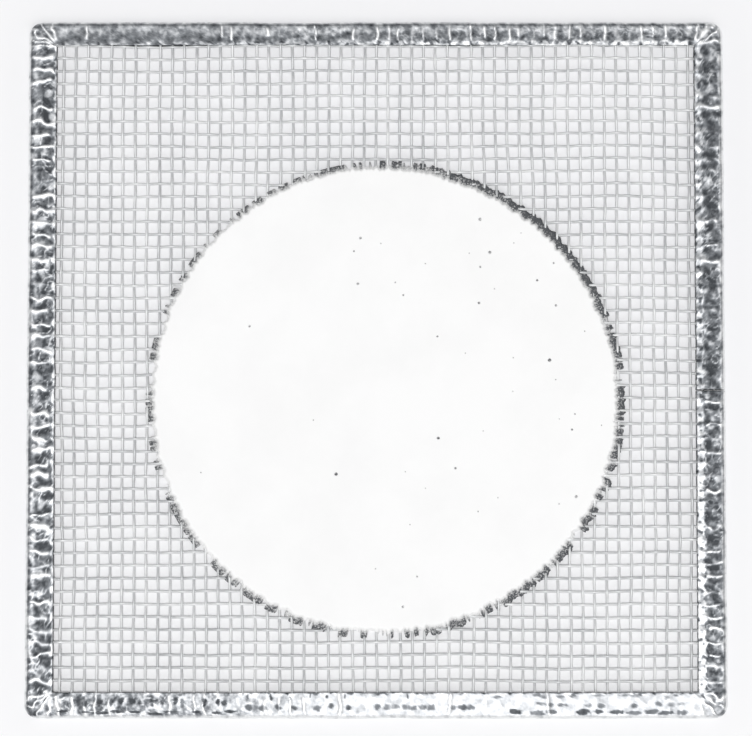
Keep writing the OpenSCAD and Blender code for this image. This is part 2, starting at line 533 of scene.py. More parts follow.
@dataclass
class WovenMesh:
    """Plain-woven square mesh: each wire is crimped over and under every wire it crosses."""

    wire_d: float = 0.45 * MM
    warp_pitch: float = 2.16 * MM
    weft_pitch: float = 2.28 * MM
    warp_count: int = 57
    weft_count: int = 54
    crimp: float = 0.4927 * MM  # height between the centres of two wires at a crossing
    rings_per_crossing: int = 6
    sides: int = 8
    drift: float = 0.32 * MM  # how far the weave is out of true
    drift_size: float = 26 * MM
    drift_w: float = 3.0  # where in the noise the drift is read
    waver: float = 0.09 * MM  # how far one wire wanders by itself
    waver_size: float = 7 * MM
    waver_w: float = 90.0  # over how much of the noise the wires are spread
    sets: tuple[WireSet, ...] = (
        WireSet("warp_wires_odd", Weave.WARP, 0, 17),
        WireSet("warp_wires_even", Weave.WARP, 1, 18),
        WireSet("weft_wires_odd", Weave.WEFT, 0, 7),
        WireSet("weft_wires_even", Weave.WEFT, 1, 8),
    )

    def build_tree(self) -> bpy.types.NodeTree:
        """Make the Geometry Nodes tree that weaves one set of wires.

        Returns:
            The tree, with one named input for each size.
        """
        tree = bpy.data.node_groups.new("weave_wires", "GeometryNodeTree")
        for name, kind in (
            ("Wires", "Int"), ("First wire", "Float"), ("Wire step", "Float"),
            ("Half length", "Float"), ("Rings", "Int"), ("Crossing step", "Float"),
            ("Crossing phase", "Float"), ("Crimp", "Float"), ("Wire diameter", "Float"),
            ("Sides", "Int"), ("Turn", "Float"), ("Mid height", "Float"),
            ("Drift", "Float"), ("Drift size", "Float"), ("Waver", "Float"),
            ("Waver size", "Float"), ("Seed", "Int"), ("Finish", "Material"),
        ):
            tree.interface.new_socket(name, in_out="INPUT", socket_type=f"NodeSocket{kind}")
        tree.interface.new_socket("Wires", in_out="OUTPUT", socket_type="NodeSocketGeometry")
        size = add_node(tree, "NodeGroupInput").outputs

        # One crimped wire along X
        back = add_node(tree, "ShaderNodeMath", {0: size["Half length"], 1: -1.0},
                        operation="MULTIPLY")
        start = add_node(tree, "ShaderNodeCombineXYZ", {"X": back})
        end = add_node(tree, "ShaderNodeCombineXYZ", {"X": size["Half length"]})
        line = add_node(tree, "GeometryNodeCurvePrimitiveLine", {"Start": start, "End": end})
        rings = add_node(tree, "GeometryNodeResampleCurve", {
            "Curve": line, "Count": size["Rings"]}, mode="COUNT")
        at = add_node(tree, "GeometryNodeInputPosition")
        axes = add_node(tree, "ShaderNodeSeparateXYZ", {0: at})
        steps = add_node(tree, "ShaderNodeMath", {
            0: axes.outputs["X"], 1: size["Crossing step"]}, operation="DIVIDE")
        angle = add_node(tree, "ShaderNodeMath", {
            0: steps, 1: math.pi, 2: size["Crossing phase"]}, operation="MULTIPLY_ADD")
        wave = add_node(tree, "ShaderNodeMath", {0: angle}, operation="COSINE")
        half = add_node(tree, "ShaderNodeMath", {0: size["Crimp"], 1: 0.5},
                        operation="MULTIPLY")
        rise = add_node(tree, "ShaderNodeMath", {0: wave, 1: half}, operation="MULTIPLY")
        lift = add_node(tree, "ShaderNodeCombineXYZ", {"Z": rise})
        bent = add_node(tree, "GeometryNodeSetPosition", {"Geometry": rings, "Offset": lift})
        radius = add_node(tree, "ShaderNodeMath", {0: size["Wire diameter"], 1: 0.5},
                          operation="MULTIPLY")
        section = add_node(tree, "GeometryNodeCurvePrimitiveCircle", {
            "Resolution": size["Sides"], "Radius": radius}, mode="RADIUS")
        wire = add_node(tree, "GeometryNodeCurveToMesh", {
            "Curve": bent, "Profile Curve": section, "Fill Caps": True})

        # The same wire again and again, with a slightly different grey for each
        first = add_node(tree, "ShaderNodeCombineXYZ", {"Y": size["First wire"]})
        step = add_node(tree, "ShaderNodeCombineXYZ", {"Y": size["Wire step"]})
        row = add_node(tree, "GeometryNodeMeshLine", {
            "Count": size["Wires"], "Start Location": first, "Offset": step}, mode="OFFSET")
        wires = add_node(tree, "GeometryNodeInstanceOnPoints", {
            "Points": row, "Instance": wire})
        grey = add_node(tree, "FunctionNodeRandomValue", {"Seed": size["Seed"]},
                        data_type="FLOAT")
        toned = add_node(tree, "GeometryNodeStoreNamedAttribute", {
            "Geometry": wires, "Name": "tone",
            "Value": next(socket for socket in grey.outputs if socket.enabled)},
            data_type="FLOAT", domain="INSTANCE")
        spin = add_node(tree, "ShaderNodeCombineXYZ", {"Z": size["Turn"]})
        up = add_node(tree, "ShaderNodeCombineXYZ", {"Z": size["Mid height"]})
        turned = add_node(tree, "GeometryNodeTransform", {
            "Geometry": toned, "Rotation": spin, "Translation": up})
        solid = add_node(tree, "GeometryNodeRealizeInstances", {"Geometry": turned})

        # The weave is a little out of true: both directions follow the same slow drift,
        # and each wire wavers by itself
        own = add_node(tree, "GeometryNodeInputNamedAttribute", {"Name": "tone"},
                       data_type="FLOAT")
        lane = add_node(tree, "ShaderNodeMath", {
            0: own.outputs["Attribute"], 1: self.waver_w}, operation="MULTIPLY")
        astray: bpy.types.Node | Point = (0.0, 0.0, 0.0)
        for name, w in (("Drift", self.drift_w), ("Waver", lane)):
            scale = add_node(tree, "ShaderNodeMath", {0: 1.0, 1: size[f"{name} size"]},
                             operation="DIVIDE")
            pattern = add_node(tree, "ShaderNodeTexNoise", {
                "Vector": at, "W": w, "Scale": scale, "Detail": 1.0}, noise_dimensions="4D")
            away = add_node(tree, "ShaderNodeVectorMath", {
                0: pattern.outputs["Color"], 1: (NOISE_MIDDLE,) * 3}, operation="SUBTRACT")
            reach = add_node(tree, "ShaderNodeMath", {0: size[name], 1: NOISE_GAIN},
                             operation="MULTIPLY")
            flat = add_node(tree, "ShaderNodeCombineXYZ", {"X": reach, "Y": reach})
            astray = add_node(tree, "ShaderNodeVectorMath", {0: away, 1: flat, 2: astray},
                              operation="MULTIPLY_ADD")
        moved = add_node(tree, "GeometryNodeSetPosition", {
            "Geometry": solid, "Offset": astray})
        rounded = add_node(tree, "GeometryNodeSetShadeSmooth", {
            "Geometry": moved, "Shade Smooth": True})
        dressed = add_node(tree, "GeometryNodeSetMaterial", {
            "Geometry": rounded, "Material": size["Finish"]})
        add_node(tree, "NodeGroupOutput", {0: dressed})
        return tree

    def sizes_of(self, wires: WireSet, finish: bpy.types.Material) -> dict[str, Any]:
        """Work out the tree's inputs for one set of wires.

        Args:
            wires: The set to make.
            finish: Its material.

        Returns:
            Value of each named input.
        """
        low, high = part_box(wires.node)
        warp = wires.weave is Weave.WARP
        pitch, count = self.warp_pitch, self.warp_count
        step, crossings = self.weft_pitch, self.weft_count
        if not warp:
            pitch, count, step, crossings = step, crossings, pitch, count
        half_length = (high.y - low.y) / 2 if warp else (high.x - low.x) / 2
        over_first = (wires.start == 0) == warp
        first = place(wires.start, count, pitch)
        # A quarter turn takes a wire at +Y to -X, so the warp is laid from its other end
        return {
            "Wires": (count - wires.start + 1) // 2,
            "First wire": -first if warp else first,
            "Wire step": -2 * pitch if warp else 2 * pitch,
            "Half length": half_length,
            "Rings": round(2 * half_length / step * self.rings_per_crossing) + 1,
            "Crossing step": step,
            "Crossing phase": math.pi * (crossings - 1) / 2 + (0.0 if over_first else math.pi),
            "Crimp": self.crimp,
            "Wire diameter": self.wire_d,
            "Sides": self.sides,
            "Turn": math.pi / 2 if warp else 0.0,
            "Mid height": (low.z + high.z) / 2,
            "Drift": self.drift,
            "Drift size": self.drift_size,
            "Waver": self.waver,
            "Waver size": self.waver_size,
            "Seed": wires.seed,
            "Finish": finish,
        }

    def weave(
        self, tree: bpy.types.NodeTree, wires: WireSet, finish: bpy.types.Material
    ) -> bpy.types.Mesh:
        """Make one set of wires as a plain mesh.

        Args:
            tree: The Geometry Nodes tree that weaves them.
            wires: The set to make.
            finish: Its material.

        Returns:
            The mesh, named for the set's node.
        """
        carrier = add_object(bpy.data.meshes.new("carrier"))
        modifier = carrier.modifiers.new("weave", "NODES")
        modifier.node_group = tree
        values = self.sizes_of(wires, finish)
        for item in tree.interface.items_tree:
            if item.in_out == "INPUT":
                modifier[item.identifier] = values[item.name]
        bpy.context.view_layer.update()
        ready = carrier.evaluated_get(bpy.context.evaluated_depsgraph_get())
        mesh = bpy.data.meshes.new_from_object(ready)
        carrier.modifiers.clear()
        bpy.data.objects.remove(carrier)
        mesh.name = "woven_" + wires.node
        return mesh

    def build(self, finish: bpy.types.Material) -> list[bpy.types.Object]:
        """Weave all four sets.

        Args:
            finish: Material of the wires.

        Returns:
            The four pieces.
        """
        tree = self.build_tree()
        return [add_piece(self.weave(tree, wires, finish), wires.node)
                for wires in self.sets]


# ---------------------------------------------------------------------------------------
# Ceramic centre
# ---------------------------------------------------------------------------------------


@dataclass(frozen=True)
class Pinhole:
    """One small hole that an air bubble left in the face of the pad."""

    x: float
    y: float
    radius: float
    dark: float  # painted shade in the hole, from 0 to 1


@dataclass(frozen=True)
class Arc:
    """A stretch of the pad's rim, strongest in its middle."""

    middle: float  # degrees from +X, anticlockwise
    half_w: float  # degrees
    power: int = 2  # 2 for soft ends, 4 for firmer ones

    def at(self, degrees: float) -> float:
        """Its strength at an angle from -180 to 180 degrees: 1 in its middle."""
        return math.exp(-(((degrees - self.middle) / self.half_w) ** self.power))


@dataclass(frozen=True)
class RimRow:
    """One ring of points of the pad, of which the first lies on its upper face."""

    inset: float  # outwards from the white rim, so it is below 0 on the face
    foot: float  # share of the width of the thin foot
    z: float  # height above the middle of the pad
    painted_shadow: float  # how much of the painted shadow shows on this row


@dataclass(frozen=True)
class RimPlace:
    """How the paste came out, and how much painted shadow it takes, at one place of the rim."""

    out_x: float  # direction from the middle of the pad
    out_y: float
    face_r: float  # radius of the white face, before its raggedness
    creep: float
    # Share of painted shadow at this place
    shadowing: float


@dataclass
class CeramicCentre:
    """Round pad of fired paste, which thins out along the wires in a ragged foot painted as its
    shadow.
    """

    mesh: WovenMesh
    around: int = 2000  # points round the rim
    round_r: float = 0.45 * MM  # rounding of the rim
    round_step: int = 18  # degrees
    round_shadow: float = 0.12  # how much of the painted shadow shows on the rounding
    calm_rows: Pair = (-1.6 * MM, -0.9 * MM)  # rows on the face, inside the ragged rim
    ragged_from: float = -0.2 * MM  # rows from here on follow the ragged rim in full
    face_in: Pair = (0.6 * MM, 0.88 * MM)  # white face, in from the outline
    face_off: Pair = (-0.45 * MM, 0.3 * MM)  # how far the face is off centre
    face_lobe: float = 0.15 * MM  # how far it is from round
    lobes: int = 3
    sway: Uneven = Uneven(9.0, 0.2 * MM)  # how far its outline sways in and out
    cling: float = 0.34 * MM  # half width of the paste that clings to a wire
    ragged: Arc = Arc(-50, 60)  # where the rim is most ragged
    fray: float = 0.42 * MM  # how far the paste creeps out along a wire there
    fray_calm: float = 0.34 * MM  # the same everywhere else
    fray_in: float = 0.55  # share of it by which the paste stays back between the wires
    fray_rough: float = 0.6  # share of it that is up to chance
    rough: tuple[Uneven, ...] = (Uneven(0.8), Uneven(0.35, 0.8))
    # The foot's dark grey is painted shadow of the pad's edge, darkest towards the upper right
    deep_shadow: Arc = Arc(50, 34, 4)  # where the painted shadow of the pad's edge is deepest, and the white face stands furthest in
    deep_shadow_level: Pair = (1.6, 0.5)  # how deep the painted shadow is there, and how much that varies
    shadow_side: float = 35.0  # degrees; the painted shadow on the foot is darkest towards here, where the shadow falls
    shadow_level: Pair = (0.58, 0.78)  # how much painted shadow the foot takes, opposite and here
    shadow_patch: tuple[Uneven, ...] = (Uneven(1.5), Uneven(0.6, 0.75))
    shadow_layer: float = 4.0
    shadow_edge: Pair = (0.35, 0.75)  # start and end of a patch's edge
    shadow_most: float = 1.1  # painted shadow of a patch at the level of the norm below
    shadow_norm: float = 0.6
    spill: float = 1.1 * MM  # the most that the foot may go past the outline
    foot_w: float = 1.25 * MM  # width of the thin foot beyond the white face
    foot_least: float = 0.3  # share of that width where the foot takes no painted shadow
    foot_z: float = 0.05 * MM  # height of its edge above the middle of the mesh
    foot_rows: tuple[float, ...] = (0.35, 0.7, 1.0)
    foot_shadow: Pair = (0.7, 1.0)  # how much of the painted shadow shows, from its root to its edge
    hole_count: int = 46
    hole_sides: int = 10
    hole_r: Pair = (0.1 * MM, 0.27 * MM)
    hole_small: float = 2.2  # above 1, most holes are small
    # Painted shade in the holes, which the shallow pits would not show by themselves
    hole_dark: Pair = (0.3, 0.65)
    hole_dark_size: float = 0.35  # how much darker the greatest hole is than the smallest
    hole_depth: float = 0.25 * MM
    # Rings of a hole from its edge inwards: shares of its radius and depth, and of its painted
    # shade
    hole_rings: tuple[Point, ...] = (
        (1.5, 0.0, 0.0), (1.1, 0.1, 0.6), (0.8, 0.6, 1.0), (0.0, 1.0, 1.0))
    hole_uneven: Uneven = Uneven(1.0, 0.4)
    hole_layer: float = 0.6  # how far apart a hole's sides lie in the noise
    hole_apart: float = 1.6 * MM
    hole_edge: float = 3.1 * MM  # no hole lies nearer to the outline
    hole_few: float = 0.12  # chance that a hole on the left is kept; on the right it is 1
    hole_turn: Pair = (-22 * MM, 28 * MM)  # where along X the chance rises
    seed: int = 23

    def nearest(self, value: float, count: int, pitch: float) -> float:
        """Distance from a point to the nearest wire of one direction."""
        index = value / pitch + (count - 1) / 2
        return abs(index - round(index)) * pitch

    def on_wire(self, x: float, y: float) -> float:
        """How near a place is to a wire.

        Args:
            x: The place.
            y: The place.

        Returns:
            A share, 1 over the middle of a wire and 0 in an open mesh.
        """
        near = min(
            self.nearest(x, self.mesh.warp_count, self.mesh.warp_pitch),
            self.nearest(y, self.mesh.weft_count, self.mesh.weft_pitch),
        )
        return math.exp(-((near / self.cling) ** 2))

    def creep(self, x: float, y: float, degrees: float) -> float:
        """How far the white face stands out at one place of its rim.

        Args:
            x: Place on the true circle.
            y: Place on the true circle.
            degrees: The same place as an angle from +X, from -180 to 180.

        Returns:
            Distance outwards, negative where the rim stays back.
        """
        amount = mix(self.fray_calm, self.fray, self.ragged.at(degrees))
        rough = sum(layer.at(in_mm(x, y, self.seed)) for layer in self.rough)
        frayed = amount * (self.on_wire(x, y) - self.fray_in + self.fray_rough * rough)
        turn = math.radians(degrees)
        lean = self.face_off[0] * math.cos(turn) + self.face_off[1] * math.sin(turn)
        lobe = self.face_lobe * math.cos(self.lobes * turn)
        return frayed + self.sway.at(in_mm(x, y)) + lean + lobe

    def shadowing(self, x: float, y: float, degrees: float) -> float:
        """How much painted shadow the foot of the paste takes at one place.

        Args:
            x: Place on the true circle.
            y: Place on the true circle.
            degrees: The same place as an angle from +X, from -180 to 180.

        Returns:
            A share, 1 or more where the painted shadow is full.
        """
        turned = math.radians(degrees - self.shadow_side)
        level = mix(*self.shadow_level, 0.5 + 0.5 * math.cos(turned))
        patch = sum(layer.at(in_mm(x, y, self.shadow_layer)) for layer in self.shadow_patch)
        patchy = smooth_step(patch, *(edge - level for edge in self.shadow_edge))
        deep_shadow = self.deep_shadow_level[0] + self.deep_shadow_level[1] * patch
        return max(self.shadow_most * patchy * level / self.shadow_norm,
                   self.deep_shadow.at(degrees) * deep_shadow)

    def draw_pinholes(self, middle: Vector, radius: float) -> list[Pinhole]:
        """Scatter the pinholes over the face, more of them to the right.

        Args:
            middle: Middle of the pad.
            radius: Radius within which they lie.

        Returns:
            The holes, none of which touch.
        """
        rng = random.Random(self.seed)
        holes: list[Pinhole] = []
        while len(holes) < self.hole_count:
            turn, out = rng.uniform(0, math.tau), radius * math.sqrt(rng.random())
            size, dark, luck = rng.random() ** self.hole_small, rng.random(), rng.random()
            x, y = middle.x + out * math.cos(turn), middle.y + out * math.sin(turn)
            if luck > mix(self.hole_few, 1.0, smooth_step(x, *self.hole_turn)):
                continue
            if any(math.hypot(x - h.x, y - h.y) < self.hole_apart for h in holes):
                continue
            holes.append(Pinhole(x, y, mix(*self.hole_r, size),
                                 mix(*self.hole_dark, dark) + self.hole_dark_size * size))
        return holes

    def sink_hole(self, hole: Pinhole, points: list[Point], thin: list[float]) -> list[Face]:
        """Make one pinhole, from its edge in the upper face down to its bottom.

        Args:
            hole: The pinhole.
            points: Points of the pad so far, to which its own are added.
            thin: How much painted shade each point takes, likewise.

        Returns:
            Its faces.
        """
        top, first, sides = points[0][2], len(points), self.hole_sides
        for share, sink, dark in self.hole_rings:
            for k in range(sides if share else 1):
                turn = math.tau * k / sides
                uneven = self.hole_uneven.at(in_mm(hole.x, hole.y, self.hole_layer * k))
                out = hole.radius * share * (1 + (uneven if sink else 0.0))
                points.append((hole.x + out * math.cos(turn), hole.y + out * math.sin(turn),
                               top - sink * self.hole_depth))
                thin.append(dark * hole.dark)
        last_ring, bottom = first + 2 * sides, first + 3 * sides
        walls = band(first, first + sides, sides) + band(first + sides, last_ring, sides)
        return walls + [(last_ring + k, last_ring + (k + 1) % sides, bottom)
                        for k in range(sides)]

    def face_round(
        self, holes: list[Pinhole], points: list[Point], thin: list[float]
    ) -> tuple[list[Face], list[Face]]:
        """Fill the upper face of the pad round its pinholes, and sink each hole.

        Args:
            holes: The pinholes.
            points: Points of the pad so far, of which the first ring bounds the face. Those
                of the holes are added.
            thin: How much painted shade each point takes, likewise.

        Returns:
            The flat faces, and the faces of the holes.
        """
        rim, sides = self.around, self.hole_sides
        number = list(range(rim))
        owner = [-1] * rim
        bounds = [(k, (k + 1) % rim) for k in range(rim)]
        sunk: list[Face] = []
        for index, hole in enumerate(holes):
            first, start = len(points), len(number)
            sunk += self.sink_hole(hole, points, thin)
            number += range(first, first + sides)
            owner += [index] * sides
            bounds += [(start + k, start + (k + 1) % sides) for k in range(sides)]
        flat = [Vector(points[k][:2]) for k in number]
        triangles_inside, tolerance = 1, 1e-9
        _, _, triangles, origins, *_ = delaunay_2d_cdt(
            flat, bounds, [], triangles_inside, tolerance)
        source = [number[old[0]] for old in origins]
        keeper = [owner[old[0]] for old in origins]
        # A triangle with all its corners on one hole closes that hole, so it is left out
        faces = [tuple(source[k] for k in triangle) for triangle in triangles
                 if keeper[triangle[0]] == -1 or len({keeper[k] for k in triangle}) > 1]
        return faces, sunk

    def rows(self, half: float) -> list[RimRow]:
        """Lay out the rings of points, from the upper face over the rim to the lower face.

        Args:
            half: Half the thickness of the pad.

        Returns:
            The rows. The lower half mirrors the upper one.
        """
        r = self.round_r
        rows = [RimRow(inset, 0.0, half, 0.0) for inset in self.calm_rows]
        for degrees in range(0, 91, self.round_step):
            turn = math.radians(degrees)
            rows.append(RimRow(-r + r * math.sin(turn), 0.0, half - r + r * math.cos(turn),
                               degrees / 90 * self.round_shadow))
        rows += [RimRow(0.0, share, mix(half - r, self.foot_z, share),
                        mix(*self.foot_shadow, share)) for share in self.foot_rows]
        return rows + [RimRow(row.inset, row.foot, -row.z, row.painted_shadow) for row in reversed(rows)]

    def rim_places(self, middle: Vector, radius: float) -> list[RimPlace]:
        """Work out how the paste came out all the way round the rim, and how much painted
        shadow it takes.

        Args:
            middle: Middle of the pad.
            radius: Radius of its outline.

        Returns:
            The places, anticlockwise from +X.
        """
        places = []
        for k in range(self.around):
            angle = math.tau * k / self.around
            degrees = math.degrees(angle if angle <= math.pi else angle - math.tau)
            out_x, out_y = math.cos(angle), math.sin(angle)
            x, y = middle.x + radius * out_x, middle.y + radius * out_y
            face_r = radius - mix(*self.face_in, self.deep_shadow.at(degrees))
            places.append(RimPlace(out_x, out_y, face_r, self.creep(x, y, degrees),
                                   self.shadowing(x, y, degrees)))
        return places

    def build(self, finish: bpy.types.Material) -> bpy.types.Object:
        """Make the pad.

        Args:
            finish: Material of the paste.

        Returns:
            The finished piece.
        """
        low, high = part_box("ceramic_centre")
        middle = (low + high) / 2
        radius = (high.x - low.x) / 2
        places = self.rim_places(middle, radius)
        rows = self.rows((high.z - low.z) / 2)
        points: list[Point] = []
        # Each point's share of painted shadow and shade
        thin: list[float] = []
        for row in rows:
            follow = smooth_step(row.inset, self.calm_rows[0], self.ragged_from)
            for rim in places:
                out = rim.face_r + row.inset + follow * rim.creep
                out += row.foot * self.foot_w * (self.foot_least + min(1.0, rim.shadowing))
                out = min(out, radius + self.spill)
                points.append((middle.x + out * rim.out_x, middle.y + out * rim.out_y,
                               middle.z + row.z))
                thin.append(row.painted_shadow * rim.shadowing)
        faces: list[Face] = []
        for here in range(0, len(points) - self.around, self.around):
            below = here + self.around
            for k in range(self.around):
                after = (k + 1) % self.around
                faces.append((here + k, below + k, below + after, here + after))
        faces.append(tuple(reversed(range(len(points) - self.around, len(points)))))
        holes = self.draw_pinholes(middle, radius - self.hole_edge)
        flat, sunk = self.face_round(holes, points, thin)
        faces += sunk
        mesh = new_mesh("pressed_ceramic_centre", points, faces + flat, finish,
                        smooth=len(faces), thin=thin)
        return add_piece(mesh, "ceramic_centre")


# ---------------------------------------------------------------------------------------
# Edge strip
# ---------------------------------------------------------------------------------------


@dataclass(frozen=True)
class Spot:
    """One place on the strip, seen from its own side."""

    x: float
    y: float
    where: Vector  # the same place in millimetres, for the noise
    side: Side
    next_side: Side
    along: float  # place along the side
    inset: float  # distance in from the outer edge
    depth: float  # the same as a share of the strip's width
    blend: float  # share of the next side's look: 0 away from a corner, 0.5 on its diagonal

    @property
    def apart(self) -> float:
        """How far it is from a corner: 1 on a side, 0 on the corner's diagonal."""
        return 1 - 2 * self.blend


@dataclass(frozen=True)
class Rub:
    """A broken line along the strip that the press rubbed brighter, or left duller."""

    depth: float  # from outer edge 0 to lip 1
    half_w: float  # as a share of the strip's width
    amount: float
    stray_mm: float = 3.5
    stray: float = 0.06  # how far the line strays, as a share of the strip's width
    wear_mm: float = 1.9
    wear: float = 1.3  # how much it comes and goes

    def at(self, spot: Spot) -> float:
        """How much it changes the tone at one place.

        Args:
            spot: The place.

        Returns:
            What it adds to the tone.
        """
        # Its depth sets it apart from the other lines in the noise
        stray = Uneven(self.stray_mm, self.stray, (self.depth, 8, 3)).at(spot.where)
        worn = 1 + Uneven(self.wear_mm, self.wear, (6, self.depth, 14)).at(spot.where)
        off = (spot.depth - self.depth - stray) / self.half_w
        return self.amount * worn * math.exp(-(off ** 2))


@dataclass(frozen=True)
class SideLook:
    """How the sheet came out of the press along one side.

    Each tone runs from 0, the dull skin of the zinc, to 1, rubbed bright. A pair gives the
    value at the low and at the high end of the side, along +X or +Y, unless it says else.
    """

    flat: Pair  # tone between the bars
    mottle: Pair  # how much that tone comes and goes
    bars: Pair  # share of the wires that show as a bright bar
    web: Pair  # strength of the bright creases between the bars
    span: Pair  # where a bar starts and ends, from outer edge 0 to lip 1
    bar_w: Pair  # least and greatest half width of a bar
    bend: float  # how far the bars wander
    crinkle: float  # height of the small dents
    lip: Pair  # tone of the inner lip, a painted highlight along its rolled edge
    lip_w: Pair  # its width
    rim: Pair  # tone of the outer edge, painted light on the rounded fold
    rim_w: float  # its width
    rubs: tuple[Rub, ...] = ()
    turn: Pair = (-0.3, 1.3)  # where along the side one end's values turn to the other's

    def share(self, along: float) -> float:
        """Share of the high end's values at a place along the side, itself from 0 to 1."""
        return smooth_step(along, *self.turn)


@dataclass(frozen=True)
class Dent:
    """One dent: where it lies on its side, its half sizes and how much darker it is painted."""

    along: float
    inset: float
    length: float
    height: float
    strength: float


@dataclass(frozen=True)
class DentRow:
    """A row of small dents along one side, each painted darker than the sheet round it."""

    side: Side
    start: float
    end: float
    depth: float  # from outer edge 0 to lip 1
    spacing: float
    length: float  # half size of a dent along the side
    height: float  # half size across it
    strength: float
    chance: float = 0.85
    # Least and greatest, for each dent: its place in its own stretch of the row, and its
    # size, strength and height as shares of the row's
    stretch: Pair = (0.25, 0.75)
    sizes: Pair = (0.55, 1.15)
    strengths: Pair = (0.65, 1.1)
    heights: Pair = (0.75, 1.2)
    drop_mm: float = 0.25  # how far it may lie above or below the row

    def draw(self, rng: random.Random, width: float) -> list[Dent]:
        """Choose the dents of the row.

        Args:
            rng: Source of the random draws.
            width: Width of the strip on this side.

        Returns:
            The dents.
        """
        dents: list[Dent] = []
        for k in range(int((self.end - self.start) / self.spacing)):
            along = self.start + (k + rng.uniform(*self.stretch)) * self.spacing
            drop = rng.uniform(-self.drop_mm, self.drop_mm) * MM
            size = rng.uniform(*self.sizes)
            strength = self.strength * rng.uniform(*self.strengths)
            if rng.random() > self.chance:
                continue
            height = self.height * rng.uniform(*self.heights)
            dents.append(Dent(along, self.depth * width + drop, self.length * size, height,
                              strength))
        return dents


@dataclass(frozen=True)
class WireMark:
    """How one wire shows through the sheet: as a pressed bar across the strip."""

    strength: float
    half_w: float
    shift: float  # along the side, from the wire's own place
    lean: float
    start: float  # from outer edge 0 to lip 1
    end: float


@dataclass(frozen=True)
class Marks:
    """What the press left at one place of the sheet, mostly as shares from 0 to 1."""

    body: float  # 1 on the open sheet, 0 at its outer edge and its lip
    bar: float
    crease: float
    dent: float
    patch: float  # a bright rubbed patch
    blotch: float  # -1 to 1, how the dull skin comes and goes
    over_wire: float  # 1 over the middle of a wire, -1 midway between two
    lip: float  # 1 on the inner lip, a painted highlight
    rim: float  # 1 on the outer edge, painted light


@dataclass(frozen=True)
class PressWork:
    """How the press worked the sheet, in the same way on every side.

    A pair named edge or fade says where something sets in and where it is there in full. A
    share says how far a mark takes the sheet's own tone to the mark's.
    """

    face_layer: float = 0.05  # keeps the two faces a little different
    outer_fade: Pair = (0.35 * MM, 0.8 * MM)  # of the open sheet, in from its outer edge
    lip_fade: float = 0.5 * MM  # and out from its lip
    # Bars over the wires
    faint: Pair = (0.0, 0.3)  # least and greatest strength of a bar that hardly shows
    strong: Pair = (0.65, 1.15)  # and of one that does
    bar_shift: float = 0.16  # how far it lies off its wire, as a share of the spacing
    bar_start: Pair = (-0.06, 0.14)  # least and most by which it starts deeper than the span
    bar_end: Pair = (-0.22, 0.08)  # and by which it ends deeper
    bar_fade: float = 0.07  # how softly it starts and ends, in depth
    bar_stray: Uneven = Uneven(1.8, start=(5, 9, 2))
    bar_h: float = 0.14 * MM
    bar_share: float = 1.1
    bar_lost: float = 0.9  # share of it that a dent takes away
    # Pleats that gather the sheet round a corner
    pleats: tuple[float, ...] = (12, 31, 53, 76)  # degrees
    pleat_stray: Uneven = Uneven(1.4, 14.0)  # degrees
    pleat_half: float = 0.24 * MM
    pleat_fade: Pair = (0.5 * MM, 1.3 * MM)
    pleat_share: float = 0.95
    # Sharp bright creases, where their noise crosses 0
    crease_line: Uneven = Uneven(1.25, start=(31, 7, 11))
    crease_half: float = 0.085  # half its width, in the noise's own value
    crease_area: Uneven = Uneven(3.0)
    crease_edge: Pair = (-0.25, 0.2)
    crease_h: float = 0.55  # height, as a share of a bar's
    crease_tone: float = 0.95
    crease_lost: float = 0.8  # share of it that a dent takes away
    # Bright rubbed patches, and the blotches of the dull skin
    patch: Uneven = Uneven(2.1, start=(2, 41, 8))
    patch_edge: Pair = (0.22, 0.5)
    patch_share: float = 0.7
    blotch_mm: float = 1.3
    blotch_kind: tuple[float, float, int] = (0.75, 2.1, 5)  # exponent, lacunarity, octaves
    # Dents, painted darker
    dent_stray: Uneven = Uneven(0.55, 0.55, (3, 3, 3))
    dent_edge: Pair = (1.15, 0.65)
    dent_reach: float = 1.6  # how far a dent may reach, as a share of its half length
    dent_share: float = 1.25
    dent_h: float = 0.05 * MM
    # Inner lip, a painted highlight with dull flecks, and outer edge, painted light
    lip_step: float = 0.22 * MM  # how far the lip's painted highlight steps out over a wire
    lip_stray: Uneven = Uneven(1.6, 0.3 * MM)
    lip_edge: Pair = (-0.15 * MM, 0.1 * MM)
    lip_blotch: float = 0.5
    lip_h: float = 0.05 * MM
    lip_wide: Pair = (0.4 * MM, 0.8 * MM)  # a lip this wide rises and falls over the wires
    fleck: Uneven = Uneven(0.8, start=(1, 17, 5))
    fleck_edge: Pair = (0.15, 0.38)
    fleck_dull: float = 0.5  # how much duller a fleck is than the lip
    rim_edge: float = 0.15 * MM
    rim_blotch: float = 0.3
    # The whole sheet
    swell: Uneven = Uneven(2.4, 0.05 * MM)
    most_h: float = 0.22 * MM  # nothing stands higher than this


@dataclass(frozen=True)
class SectionPoint:
    """One point of the folded sheet's outline, seen from its end."""

    fixed: float  # part of its inset that is the same on every side
    share: float  # of the rest of the way up to the lip
    z: float  # height above the mid-plane
    skin: Skin

    def inset(self, width: float) -> float:
        """Its distance in from the outer edge, where the strip has this width."""
        return self.fixed + self.share * (width - self.fixed)


@dataclass(frozen=True)
class Station:
    """One cross-cut of the strip, on its way round the square."""

    side: Side
    share: float  # of the side's straight run, and above 1 of the turn round its corner
    start: float | None  # start of that run along the side, or None at a corner
    end: float | None


